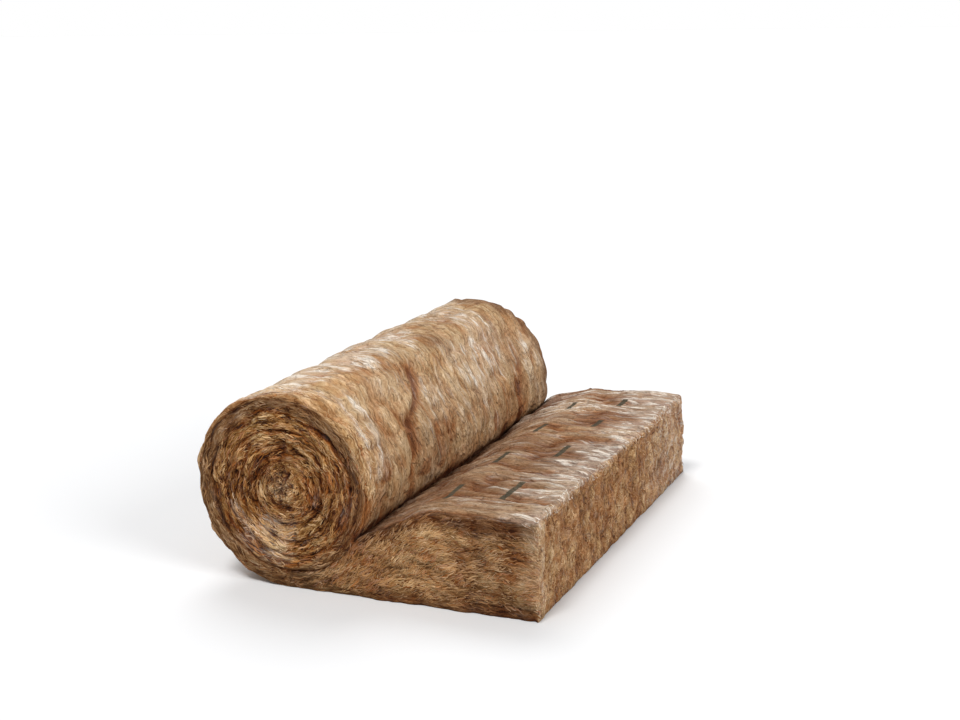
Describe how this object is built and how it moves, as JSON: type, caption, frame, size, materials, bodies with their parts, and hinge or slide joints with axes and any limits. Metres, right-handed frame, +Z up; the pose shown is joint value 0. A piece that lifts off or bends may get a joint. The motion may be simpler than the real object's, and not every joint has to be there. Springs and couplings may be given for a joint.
{
  "type": "partly unrolled mineral wool insulation roll",
  "caption": "Brown mineral wool blanket wound into a roll that lies on its side, its outer turn laid out flat as a thick tail with printed cutting marks.",
  "frame": {"origin": "middle of the whole outline, on the floor that the blanket rests on", "axes": "+X the way the tail is rolled out, towards its cut end; +Y along the roll; +Z up"},
  "size_m": [0.8944, 1.2, 0.48],
  "materials": {
    "wool": "matt, fibrous"
  },
  "bodies": {
    "root": {"wool_blanket": "wool"}
  },
  "joints": []
}
